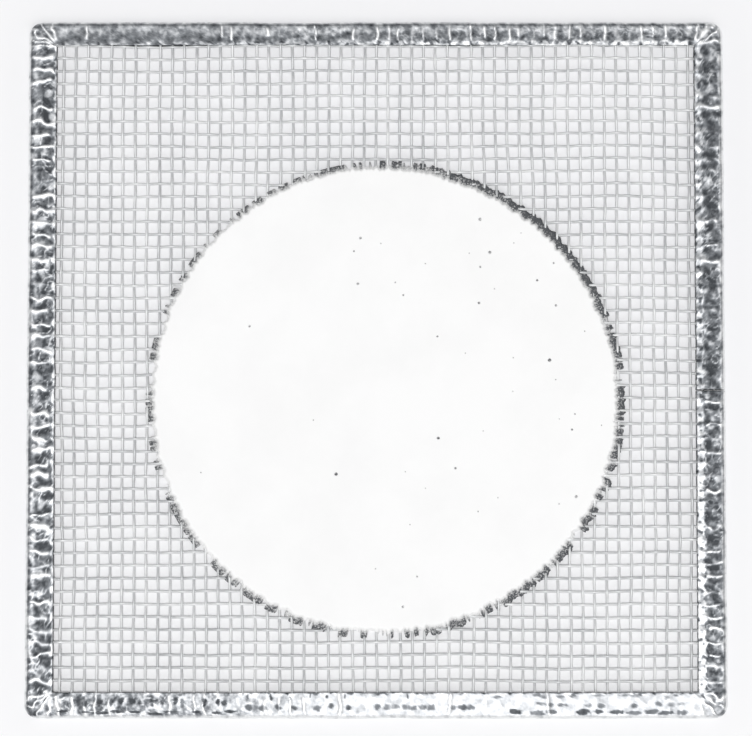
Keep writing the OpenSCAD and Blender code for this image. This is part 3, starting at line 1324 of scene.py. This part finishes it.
@dataclass
class EdgeStrip:
    """One length of thin sheet folded over the mesh, with its two ends meeting on one side."""

    mesh: WovenMesh
    work: PressWork = PressWork()
    widths: dict[Side, float] = field(default_factory=lambda: {
        Side.RIGHT: 5.3 * MM, Side.FAR: 4.3 * MM, Side.LEFT: 5.1 * MM, Side.NEAR: 4.7 * MM})
    sheet_t: float = 0.25 * MM
    mark_room: float = 0.12 * MM  # how far the plain sheet stays inside the frame's box
    inside_from: float = 0.3  # the inner skin's second row, on the way up to the lip
    inside_tone: float = 0.2
    corner_r: float = 2.5 * MM
    inner_corner_r: float = 0.25 * MM
    corner_steps: int = 12
    corner_blend: float = 0.5  # difference of depth within which two sides' looks blend
    corner_depth: float = 1.15  # nothing blends at a greater depth
    seam_gap: float = 0.2 * MM
    seam_y: float = -4 * MM
    station_step: float = 0.256 * MM  # distance from one cross-cut to the next
    upper_rows: int = 20
    lower_rows: int = 9
    fold_steps: int = 9
    inside_steps: int = 5
    edge_waver: Uneven = Uneven(5.0)
    edge_back: float = 0.2 * MM  # the most that the outer edge stands back
    edge_fade: Pair = (0.4, 0.0)  # depths between which that sets in
    lip_waver: Uneven = Uneven(3.0, 0.12 * MM, (0.0, 0.0, 3.0))
    lip_fade: Pair = (0.6, 1.0)
    seed: int = 41
    looks: dict[Side, SideLook] = field(default_factory=lambda: {
        Side.FAR: SideLook(
            flat=(0.36, 0.34), mottle=(0.28, 0.5), bars=(0.3, 0.65), web=(0.12, 0.55),
            span=(0.14, 0.82), bar_w=(0.13 * MM, 0.27 * MM), bend=0.3 * MM,
            crinkle=0.025 * MM, lip=(0.35, 0.85), lip_w=(0.4 * MM, 0.85 * MM),
            rim=(0.85, 0.85), rim_w=0.3 * MM,
            rubs=(Rub(0.34, 0.16, 0.12), Rub(0.66, 0.16, -0.12))),
        Side.LEFT: SideLook(
            flat=(0.12, 0.18), mottle=(0.45, 0.4), bars=(0.8, 0.85), web=(0.75, 0.7),
            span=(0.06, 0.94), bar_w=(0.18 * MM, 0.42 * MM), bend=0.8 * MM,
            crinkle=0.045 * MM, lip=(0.75, 0.75), lip_w=(0.4 * MM, 0.4 * MM),
            rim=(0.95, 0.95), rim_w=0.45 * MM,
            rubs=(Rub(0.28, 0.09, 0.25), Rub(0.6, 0.15, -0.15))),
        # The near side's bright flat tone is a painted highlight of the light from the near
        # lamp
        Side.NEAR: SideLook(
            flat=(0.34, 0.68), mottle=(0.65, 0.16), bars=(0.7, 0.12), web=(0.75, 0.12),
            span=(0.04, 0.96), bar_w=(0.14 * MM, 0.34 * MM), bend=0.5 * MM,
            crinkle=0.03 * MM, lip=(0.55, 0.65), lip_w=(0.3 * MM, 0.3 * MM),
            rim=(1.0, 1.0), rim_w=0.5 * MM, turn=(0.05, 0.5)),
        Side.RIGHT: SideLook(
            flat=(0.2, 0.22), mottle=(0.5, 0.45), bars=(0.95, 0.12), web=(0.6, 0.65),
            span=(0.1, 0.85), bar_w=(0.14 * MM, 0.3 * MM), bend=0.6 * MM,
            crinkle=0.045 * MM, lip=(0.95, 0.6), lip_w=(1.45 * MM, 1.3 * MM),
            rim=(1.0, 1.0), rim_w=0.45 * MM, turn=(0.0, 0.55),
            rubs=(Rub(0.13, 0.05, 0.35), Rub(0.56, 0.16, -0.14))),
    })
    dent_rows: tuple[DentRow, ...] = (
        DentRow(Side.NEAR, -56 * MM, -25 * MM, 0.66, 1.9 * MM, 0.55 * MM, 0.75 * MM, 0.9),
        DentRow(Side.NEAR, -57 * MM, -22 * MM, 0.24, 3.3 * MM, 1.3 * MM, 0.3 * MM, 1.0, 0.95),
        DentRow(Side.NEAR, -24 * MM, 12 * MM, 0.85, 3.4 * MM, 0.22 * MM, 0.6 * MM, 0.8, 0.6),
        DentRow(Side.NEAR, -24 * MM, -2 * MM, 0.45, 2.9 * MM, 0.7 * MM, 0.55 * MM, 0.6, 0.6),
        DentRow(Side.NEAR, -1 * MM, 21 * MM, 0.42, 1.7 * MM, 0.95 * MM, 0.55 * MM, 0.6, 0.85),
        DentRow(Side.NEAR, 24 * MM, 58 * MM, 0.24, 2.9 * MM, 1.6 * MM, 0.5 * MM, 0.68, 0.95),
        DentRow(Side.NEAR, 28 * MM, 58 * MM, 0.55, 2.1 * MM, 0.9 * MM, 0.42 * MM, 0.5, 0.65),
        DentRow(Side.NEAR, 20 * MM, 58 * MM, 0.88, 2.3 * MM, 1.1 * MM, 0.36 * MM, 0.48, 0.75),
        DentRow(Side.RIGHT, -42 * MM, 48 * MM, 0.42, 2.4 * MM, 0.95 * MM, 0.9 * MM, 0.7, 0.7),
    )
    wire_marks: dict[Side, list[WireMark]] = field(default_factory=dict)
    dents: dict[tuple[Side, int], list[Dent]] = field(default_factory=dict)
    half: float = 0.0  # half the side of the square, read from the frame

    def row(self, side: Side) -> tuple[int, float]:
        """Find the wires that end under one side.

        Args:
            side: The side.

        Returns:
            Their number and spacing.
        """
        if side in (Side.RIGHT, Side.LEFT):
            return self.mesh.weft_count, self.mesh.weft_pitch
        return self.mesh.warp_count, self.mesh.warp_pitch

    def draw_wire_marks(self) -> None:
        """Choose, for each side, how each wire shows through the sheet."""
        rng, work = random.Random(self.seed), self.work
        for side in Side:
            look = self.looks[side]
            count, pitch = self.row(side)
            self.wire_marks[side] = []
            for index in range(count):
                shows = rng.random() < mix(*look.bars, look.share(index / (count - 1)))
                self.wire_marks[side].append(WireMark(
                    strength=rng.uniform(*(work.strong if shows else work.faint)),
                    half_w=rng.uniform(*look.bar_w),
                    shift=rng.uniform(-work.bar_shift, work.bar_shift) * pitch,
                    lean=rng.uniform(-1.0, 1.0) * look.bend,
                    start=look.span[0] + rng.uniform(*work.bar_start),
                    end=look.span[1] + rng.uniform(*work.bar_end)))

    def draw_dents(self) -> None:
        """Choose the dents of each row, and file them by the millimetres that they reach."""
        rng = random.Random(self.seed + 1)
        for row in self.dent_rows:
            for dent in row.draw(rng, self.widths[row.side]):
                reach = self.work.dent_reach * dent.length
                for cell in range(math.floor((dent.along - reach) / MM),
                                  math.floor((dent.along + reach) / MM) + 1):
                    self.dents.setdefault((row.side, cell), []).append(dent)

    def sides_near(self, x: float, y: float) -> tuple[Side, Side]:
        """The right or left side, and the far or near one, whichever is nearer."""
        return Side.RIGHT if x > 0 else Side.LEFT, Side.FAR if y > 0 else Side.NEAR

    def locate(self, x: float, y: float, face: int) -> Spot:
        """Find the side that a point belongs to, and its place there.

        Args:
            x: Place of the point.
            y: Place of the point.
            face: 1 for the upper face and -1 for the lower one.

        Returns:
            The spot on the strip.
        """
        where = in_mm(x, y, self.work.face_layer * face)
        across, level = self.sides_near(x, y)
        inset_x, inset_y = self.half - abs(x), self.half - abs(y)
        depth_x, depth_y = inset_x / self.widths[across], inset_y / self.widths[level]
        blend = max(0.0, 1 - abs(depth_x - depth_y) / self.corner_blend) / 2
        if max(depth_x, depth_y) > self.corner_depth:
            blend = 0.0
        if depth_x < depth_y:
            return Spot(x, y, where, across, level, y, inset_x, depth_x, blend)
        return Spot(x, y, where, level, across, x, inset_y, depth_y, blend)

    def look_at(self, name: str, spot: Spot) -> float:
        """Read one paired value of the look at a spot, blended round the corners.

        Args:
            name: Name of the value in the look.
            spot: Where to read it.

        Returns:
            The value there.
        """
        look = self.looks[spot.side]
        here = mix(*getattr(look, name), look.share((spot.along + self.half) / (2 * self.half)))
        low_end, high_end = getattr(self.looks[spot.next_side], name)
        there = high_end if spot.side in (Side.FAR, Side.RIGHT) else low_end
        return mix(here, there, spot.blend)

    def bar_at(self, spot: Spot) -> float:
        """Strength of the pressed bar over the nearest wire.

        Args:
            spot: Where to read it.

        Returns:
            A share, 0 between the bars.
        """
        fade = self.work.bar_fade
        count, pitch = self.row(spot.side)
        stray = self.looks[spot.side].bend * self.work.bar_stray.at(spot.where)
        along = spot.along + stray
        index = min(count - 1, max(0, round(along / pitch + (count - 1) / 2)))
        mark = self.wire_marks[spot.side][index]
        off = along - place(index, count, pitch) - mark.shift
        off -= mark.lean * (spot.depth - 0.5)
        reach = smooth_step(spot.depth, mark.start - fade, mark.start + fade)
        reach *= smooth_step(spot.depth, mark.end + fade, mark.end - fade)
        return mark.strength * reach * math.exp(-((off / mark.half_w) ** 2))

    def pleat_at(self, spot: Spot) -> float:
        """Strength of a pleat in a corner, fanned out from the strip's inner corner.

        Args:
            spot: Where to read it.

        Returns:
            A share, 0 between the pleats and outside the corners.
        """
        work = self.work
        across, level = self.sides_near(spot.x, spot.y)
        dx = abs(spot.x) - (self.half - self.widths[across])
        dy = abs(spot.y) - (self.half - self.widths[level])
        if dx <= 0 or dy <= 0:
            return 0.0
        reach = math.hypot(dx, dy)
        angle = math.degrees(math.atan2(dy, dx)) + work.pleat_stray.at(spot.where)
        gap = min(abs(angle - pleat) for pleat in work.pleats)
        pleat = math.exp(-((math.radians(gap) * reach / work.pleat_half) ** 2))
        return work.pleat_share * pleat * smooth_step(reach, *work.pleat_fade)

    def dent_at(self, spot: Spot) -> float:
        """Strength of the dents at a spot.

        Args:
            spot: Where to read it.

        Returns:
            A share, 0 away from every dent.
        """
        found = 0.0
        for dent in self.dents.get((spot.side, math.floor(spot.along / MM)), ()):
            off = math.hypot((spot.along - dent.along) / dent.length,
                             (spot.inset - dent.inset) / dent.height)
            off += self.work.dent_stray.at(spot.where)
            found = max(found, dent.strength * smooth_step(off, *self.work.dent_edge))
        return found

    def marks_at(self, spot: Spot) -> Marks:
        """Find what the press left at one place.

        Args:
            spot: The place.

        Returns:
            All the marks there.
        """
        work, look, width = self.work, self.looks[spot.side], self.widths[spot.side]
        body = smooth_step(spot.inset, *work.outer_fade)
        body *= smooth_step(spot.inset, width, width - work.lip_fade)
        pleat = self.pleat_at(spot)
        web = self.look_at("web", spot)
        crease = math.exp(-((work.crease_line.at(spot.where) / work.crease_half) ** 2))
        crease *= web * body * smooth_step(work.crease_area.at(spot.where), *work.crease_edge)
        count, pitch = self.row(spot.side)
        over_wire = math.cos(math.tau * (spot.along / pitch + (count - 1) / 2))
        lip_at = width - self.look_at("lip_w", spot)
        lip_at -= work.lip_step * over_wire + work.lip_stray.at(spot.where)
        lip = smooth_step(spot.inset, *(lip_at + edge for edge in work.lip_edge))
        return Marks(
            body=body,
            bar=pleat if pleat > 0 else self.bar_at(spot),
            crease=crease,
            dent=self.dent_at(spot) * spot.apart,
            patch=smooth_step(work.patch.at(spot.where), *work.patch_edge) * web,
            blotch=noise.fractal(spot.where / work.blotch_mm, *work.blotch_kind),
            over_wire=over_wire,
            lip=lip * (1 - spot.blend),
            rim=1 - smooth_step(spot.inset, look.rim_w - work.rim_edge,
                                look.rim_w + work.rim_edge))

    def tone_of(self, marks: Marks, spot: Spot) -> float:
        """Work out how bright the sheet is at one place.

        Args:
            marks: What the press left there.
            spot: The place.

        Returns:
            The tone, from dull 0 to bright 1.
        """
        work = self.work
        tone = self.look_at("flat", spot) + self.look_at("mottle", spot) * marks.blotch
        for rub in self.looks[spot.side].rubs:
            tone += rub.at(spot) * spot.apart
        fleck = smooth_step(work.fleck.at(spot.where), *work.fleck_edge)
        lip_tone = self.look_at("lip", spot) - work.fleck_dull * fleck
        # Each mark in turn takes the tone some way to its own
        for share, target in (
            (work.patch_share * marks.patch, 1.0),
            (work.dent_share * marks.dent, 0.0),
            (min(1.0, work.bar_share * marks.bar) * (1 - work.bar_lost * marks.dent), 1.0),
            (min(1.0, marks.crease) * (1 - work.crease_lost * marks.dent), work.crease_tone),
            # The lip's tone is a painted highlight and the outer edge's painted light
            (marks.lip, lip_tone + work.lip_blotch * marks.blotch),
            (marks.rim, self.look_at("rim", spot) + work.rim_blotch * marks.blotch),
        ):
            tone = mix(tone, target, min(1.0, share))
        return min(1.0, max(0.0, tone))

    def height_of(self, marks: Marks, spot: Spot) -> float:
        """Work out how far the sheet stands out at one place.

        Args:
            marks: What the press left there.
            spot: The place.

        Returns:
            Height above the plain sheet.
        """
        work = self.work
        height = work.bar_h * marks.bar + work.crease_h * work.bar_h * marks.crease
        height -= work.dent_h * marks.dent * marks.body
        crinkle = self.looks[spot.side].crinkle * marks.blotch
        height += (crinkle + work.swell.at(spot.where)) * marks.body
        wide = smooth_step(self.look_at("lip_w", spot), *work.lip_wide)
        height += work.lip_h * marks.lip * marks.over_wire * wide
        return min(height, work.most_h)

    def stations(self) -> list[Station]:
        """Lay out the cross-cuts of the strip, from one end round to the other.

        Returns:
            The stations, which start and end on either side of the seam.
        """
        runs: list[tuple[Side, float | None, float | None]] = [
            (Side.RIGHT, self.seam_y + self.seam_gap / 2, None)]
        runs += [(side, None, None) for side in (Side.FAR, Side.LEFT, Side.NEAR)]
        runs.append((Side.RIGHT, None, self.seam_y - self.seam_gap / 2))
        stations: list[Station] = []
        for side, start, end in runs:
            low = -self.half if start is None else start
            high = self.half if end is None else end
            steps = max(2, round((high - low) / self.station_step))
            shares = [k / steps for k in range(steps + 1)]
            if end is None:
                shares += [1 + k / self.corner_steps for k in range(1, self.corner_steps)]
            stations += [Station(side, share, start, end) for share in shares]
        return stations

    def section(self) -> list[SectionPoint]:
        """Draw the outline of the folded sheet, seen from its end.

        Returns:
            Its points: the upper face, the fold, the lower face and the inside.
        """
        low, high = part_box("edge_strip")
        fold = (high.z - low.z) / 2 - self.mark_room
        inside = fold - self.sheet_t
        points = [SectionPoint(fold, 1 - k / self.upper_rows, fold, Skin.UPPER)
                  for k in range(self.upper_rows + 1)]
        for k in range(1, self.fold_steps):
            turn = math.pi / 2 - math.pi * k / self.fold_steps
            points.append(SectionPoint(fold - fold * math.cos(turn), 0.0,
                                       fold * math.sin(turn), Skin.FOLD))
        points += [SectionPoint(fold, k / self.lower_rows, -fold, Skin.LOWER)
                   for k in range(self.lower_rows + 1)]
        points += [SectionPoint(fold, share, -inside, Skin.INSIDE)
                   for share in (1.0, self.inside_from)]
        for k in range(self.inside_steps + 1):
            turn = -math.pi / 2 + math.pi * k / self.inside_steps
            points.append(SectionPoint(fold - inside * math.cos(turn), 0.0,
                                       inside * math.sin(turn), Skin.INSIDE))
        return points + [SectionPoint(fold, share, inside, Skin.INSIDE)
                         for share in (self.inside_from, 1.0)]

    def at(self, station: Station, point: SectionPoint) -> Pair:
        """Find the place of one point of the section at one station.

        Args:
            station: The cross-cut.
            point: The point of the section.

        Returns:
            The place, x and y.
        """
        turns = station.side.value
        sides = (Side((turns - 1) % 4), station.side, Side((turns + 1) % 4))
        inset_before, inset, inset_after = (point.inset(self.widths[s]) for s in sides)
        corner = max(self.corner_r - (inset + inset_after) / 2, self.inner_corner_r)
        corner_before = max(self.corner_r - (inset + inset_before) / 2, self.inner_corner_r)
        u, high = self.half - inset, self.half - inset_after - corner
        if station.share <= 1:
            low = station.start
            if low is None:
                low = -(self.half - inset_before - corner_before)
            v = mix(low, high if station.end is None else station.end, station.share)
        else:
            turn = (station.share - 1) * math.pi / 2
            u, v = u - corner + corner * math.cos(turn), high + corner * math.sin(turn)
        for _ in range(turns):
            u, v = -v, u
        return u, v

    def press(self, station: Station, point: SectionPoint) -> tuple[Point, float]:
        """Shape and dress one point of the sheet.

        Args:
            station: The cross-cut that it lies on.
            point: Which point of the section it is.

        Returns:
            Its place, with the height above the mid-plane, and its tone.
        """
        x, y = self.at(station, point)
        z, tone = point.z, self.inside_tone
        if point.skin is not Skin.INSIDE:
            spot = self.locate(x, y, 1 if z >= 0 else -1)
            marks = self.marks_at(spot)
            tone = self.tone_of(marks, spot)
            if point.skin is Skin.UPPER:
                z += self.height_of(marks, spot)
            elif point.skin is Skin.LOWER:
                z -= self.height_of(marks, spot)
        width = self.widths[station.side]
        depth = point.inset(width) / width
        # Its outer edge and its lip waver in and out
        outer = self.edge_back * (0.5 + 0.5 * self.edge_waver.at(in_mm(x, y)))
        outer *= smooth_step(depth, *self.edge_fade)
        inner = self.lip_waver.at(in_mm(x, y)) * smooth_step(depth, *self.lip_fade)
        shrink = 1 - (outer + inner) / self.half
        return (x * shrink, y * shrink, z), tone

    def build(self, finish: bpy.types.Material) -> bpy.types.Object:
        """Make the strip.

        Args:
            finish: Material of the sheet.

        Returns:
            The finished piece.
        """
        low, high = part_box("edge_strip")
        self.half = (high.x - low.x) / 2
        mid = (low.z + high.z) / 2
        self.draw_wire_marks()
        self.draw_dents()
        section = self.section()
        points: list[Point] = []
        tones: list[float] = []
        for station in self.stations():
            for point in section:
                (x, y, z), tone = self.press(station, point)
                points.append((x, y, mid + z))
                tones.append(tone)
        size, last = len(section), len(points) - len(section)
        faces = [face for first in range(0, last, size)
                 for face in band(first, first + size, size)]
        faces += [tuple(reversed(range(size))), tuple(range(last, last + size))]
        mesh = new_mesh("pressed_edge_strip", points, faces, finish,
                        smooth=len(faces), tone=tones)
        return add_piece(mesh, "edge_strip")


# ---------------------------------------------------------------------------------------
# Studio
# ---------------------------------------------------------------------------------------


@dataclass(frozen=True)
class Lamp:
    """One soft area lamp, aimed at the middle of the gauze."""

    name: str
    place: Point
    width: float
    power: float  # watts


@dataclass
class Studio:
    """Plain white table, soft lamps over it and a camera that looks down on the gauze."""

    lamps: tuple[Lamp, ...] = (
        Lamp("near_lamp", (0.28, -2.00, 2.60), 1.70, 16.0),
        Lamp("top_lamp", (-0.05, -0.25, 1.95), 0.39, 23.5),
    )
    # Brightness of the surroundings, by the sine of the angle above the horizon
    walls: tuple[tuple[float, str], ...] = (
        (0.0, "#FFFFFF"), (0.3, "#FFFFFF"), (0.5, "#959595"), (0.7, "#959595"),
        (0.95, "#616161"))
    distance: float = 0.62
    elevation: float = 85.7  # degrees
    frame_width: float = 0.1345  # what the camera sees across, at the gauze
    sensor_mm: float = 36.0
    clip: Pair = (0.01, 20.0)
    table_size: float = 6.0

    def table(self) -> None:
        """Lay the table top that the gauze rests on."""
        h = self.table_size / 2
        corners = [(-h, -h, 0.0), (h, -h, 0.0), (h, h, 0.0), (-h, h, 0.0)]
        mesh = new_mesh("table_top", corners, [(0, 1, 2, 3)], PaleTable().build())
        add_object(mesh)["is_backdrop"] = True

    def light(self) -> None:
        """Hang the lamps and set the surroundings: bright walls and a greyer ceiling."""
        for lamp in self.lamps:
            data = bpy.data.lights.new(lamp.name, "AREA")
            data.shape = "SQUARE"
            data.size = lamp.width
            data.energy = lamp.power
            hung = add_object(data)
            hung.location = lamp.place
            hung.rotation_mode = "QUATERNION"
            hung.rotation_quaternion = (-Vector(lamp.place)).to_track_quat("-Z", "Y")
        world = bpy.data.worlds.new("studio")
        bpy.context.scene.world = world
        world.use_nodes = True
        tree = world.node_tree
        tree.nodes.clear()
        way = add_node(tree, "ShaderNodeTexCoord").outputs["Generated"]
        axes = add_node(tree, "ShaderNodeSeparateXYZ", {0: way})
        level = add_node(tree, "ShaderNodeValToRGB", {"Fac": axes.outputs["Z"]},
                         stops=self.walls)
        sky = add_node(tree, "ShaderNodeBackground", {"Color": level})
        add_node(tree, "ShaderNodeOutputWorld", {"Surface": sky})

    def camera(self) -> None:
        """Set the camera almost straight above, a little towards the near side."""
        low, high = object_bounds()
        up = math.radians(self.elevation)
        back = Vector((0.0, -math.cos(up), math.sin(up)))
        data = bpy.data.cameras.new("camera")
        data.sensor_width = self.sensor_mm
        data.lens = self.sensor_mm * self.distance / self.frame_width
        data.clip_start, data.clip_end = self.clip
        camera = add_object(data)
        camera.location = (low + high) / 2 + back * self.distance
        camera.rotation_mode = "QUATERNION"
        camera.rotation_quaternion = (-back).to_track_quat("-Z", "Y")
        bpy.context.scene.camera = camera

    def build(self) -> None:
        """Set up the table, the light, the camera and the plain view of colours."""
        self.table()
        self.light()
        self.camera()
        bpy.context.scene.view_settings.view_transform = "Standard"


def report(piece: bpy.types.Object) -> None:
    """Log a piece's name, size and number of triangles.

    Args:
        piece: The finished piece.
    """
    piece.data.calc_loop_triangles()
    size = [round(d / MM, 2) for d in piece.dimensions]
    log.info("%s: %s mm, %d triangles", piece.name, size, len(piece.data.loop_triangles))


def main() -> None:
    """Build the gauze's pieces in order and the studio round them."""
    logging.basicConfig(level=logging.INFO, format="%(name)s: %(message)s")
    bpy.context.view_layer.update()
    woven = WovenMesh()
    pieces = woven.build(DrawnGalvanisedWire().build())
    pieces.append(CeramicCentre(woven).build(FiredCeramicPaste().build()))
    pieces.append(EdgeStrip(woven).build(CrinkledZincSheet().build()))
    bpy.context.view_layer.update()
    for piece in pieces:
        report(piece)
    Studio().build()
    bpy.context.view_layer.update()


if __name__ == "__main__":
    main()
